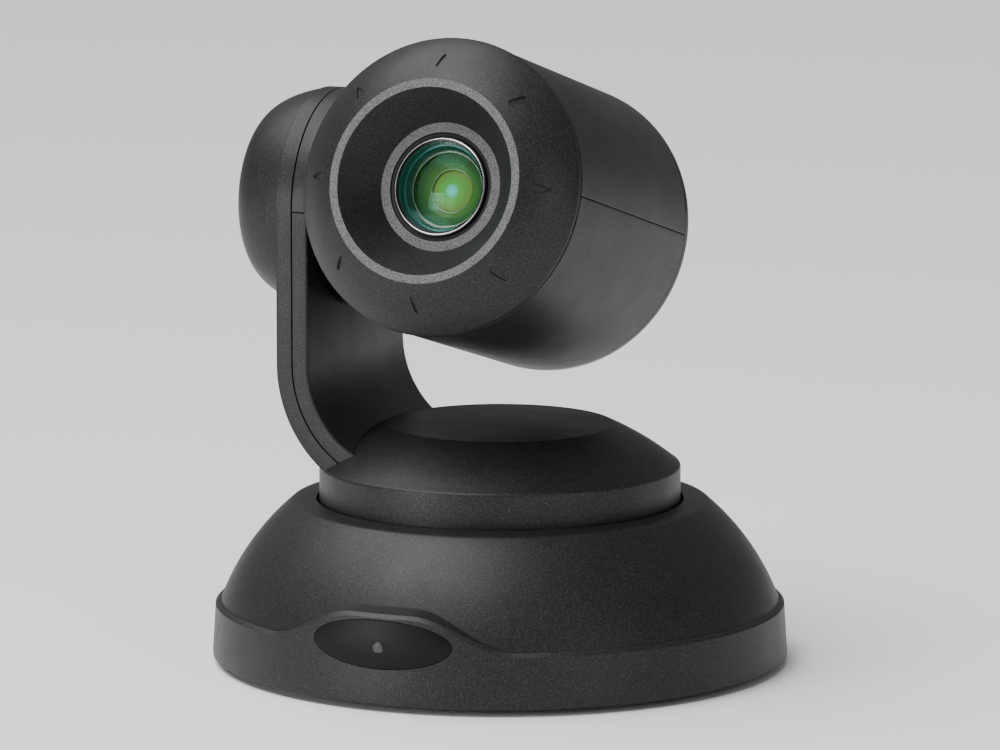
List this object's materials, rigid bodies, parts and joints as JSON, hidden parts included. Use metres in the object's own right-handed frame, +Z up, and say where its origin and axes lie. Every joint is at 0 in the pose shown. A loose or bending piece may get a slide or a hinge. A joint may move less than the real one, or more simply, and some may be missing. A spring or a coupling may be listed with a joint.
{
  "type": "ptz camera",
  "caption": "Desktop pan-tilt-zoom camera: round base with an oval front window, a turntable with one side arm, and a drum-shaped head that tilts on the arm.",
  "frame": {"origin": "on the table, at the centre of the round base, on the pan axis", "axes": "+Z up along the pan axis, -Y the front (window and lens at rest pan), -X the arm's side"},
  "size_m": [0.18, 0.18, 0.1981],
  "materials": {
    "satin_paint": "charcoal satin paint with a fine metallic speckle on moulded ABS",
    "gloss_black": "glossy black moulded plastic",
    "ir_filter": "infrared-pass plastic, near black, satin",
    "rubber": "matt black rubber",
    "zinc_steel": "zinc-plated steel",
    "cast_aluminium": "die-cast aluminium",
    "port_metal": "nickel-plated socket shells",
    "circuit_board": "green solder mask",
    "brass": "turned brass",
    "gear_plastic": "natural acetal",
    "chrome_trim": "bright ring",
    "lens_glass": "green and cyan anti-reflection coating"
  },
  "bodies": {
    "base": {"base_dome": "satin_paint", "base_skirt": "satin_paint", "ir_window": "ir_filter", "ir_receiver": "zinc_steel", "ir_board": "circuit_board", "base_plate": "zinc_steel", "rubber_feet": "rubber", "base_screws": "zinc_steel", "tripod_insert": "brass", "rear_panel": "satin_paint", "power_jack": "gloss_black", "lan_port": "port_metal", "hdmi_port": "port_metal", "usb_port": "port_metal", "serial_port": "gloss_black", "main_board": "circuit_board", "board_standoffs": "zinc_steel", "pan_bearing": "zinc_steel", "thrust_washer": "gear_plastic", "pan_motor_bracket": "zinc_steel", "pan_motor": "zinc_steel"},
    "pan_pinion": {"pan_pinion": "brass"},
    "turntable": {"turntable_plate": "cast_aluminium", "turntable_cover": "satin_paint", "pan_shaft": "zinc_steel", "pan_gear": "gear_plastic", "shaft_clip": "zinc_steel", "arm_bracket": "zinc_steel", "bracket_screws": "zinc_steel", "arm_inner_cover": "satin_paint", "arm_inner_cap": "satin_paint", "arm_outer_cover": "satin_paint", "tilt_bearing": "zinc_steel", "tilt_motor_plate": "zinc_steel", "tilt_motor": "zinc_steel"},
    "tilt_pinion": {"tilt_pinion": "brass"},
    "head": {"head_upper_shell": "satin_paint", "head_lower_shell": "satin_paint", "head_bezel": "satin_paint", "bezel_recess": "satin_paint", "head_rear_cover": "gloss_black", "rear_screws": "zinc_steel", "tilt_hub": "gloss_black", "tilt_shaft": "zinc_steel", "tilt_gear": "gear_plastic", "camera_frame": "zinc_steel", "lens_barrel": "gloss_black", "lens_gasket": "rubber", "lens_ring": "chrome_trim", "lens_retainer": "gloss_black", "front_lens": "lens_glass", "sensor_board": "circuit_board"},
    "zoom_group": {"zoom_group": "gloss_black"},
    "focus_group": {"focus_group": "gloss_black"}
  },
  "joints": [
    {"name": "pan", "type": "hinge", "parent": "base", "child": "turntable", "pos_m": [0, 0, 0.05], "axis": [0, 0, 1], "range_deg": [-155, 155]},
    {"name": "pan_motor_spin", "type": "hinge", "parent": "base", "child": "pan_pinion", "pos_m": [0, 0.0435, 0.038], "axis": [0, 0, 1], "range_deg": [-744, 744]},
    {"name": "tilt", "type": "hinge", "parent": "turntable", "child": "head", "pos_m": [0, 0, 0.14181], "axis": [-1, 0, 0], "range_deg": [-45.3, 74.7]},
    {"name": "tilt_motor_spin", "type": "hinge", "parent": "turntable", "child": "tilt_pinion", "pos_m": [-0.0588, 0, 0.12801], "axis": [-1, 0, 0], "range_deg": [-212, 212]},
    {"name": "zoom", "type": "slide", "parent": "head", "child": "zoom_group", "axis": [0, -0.9646, 0.2639], "range_m": [-0.012, 0.01]},
    {"name": "focus", "type": "slide", "parent": "head", "child": "focus_group", "axis": [0, -0.9646, 0.2639], "range_m": [-0.006, 0.006]}
  ],
  "couplings": [
    {"joint": "pan_motor_spin", "follows": "pan", "ratio": -4.8},
    {"joint": "tilt_motor_spin", "follows": "tilt", "ratio": -2.8333}
  ]
}
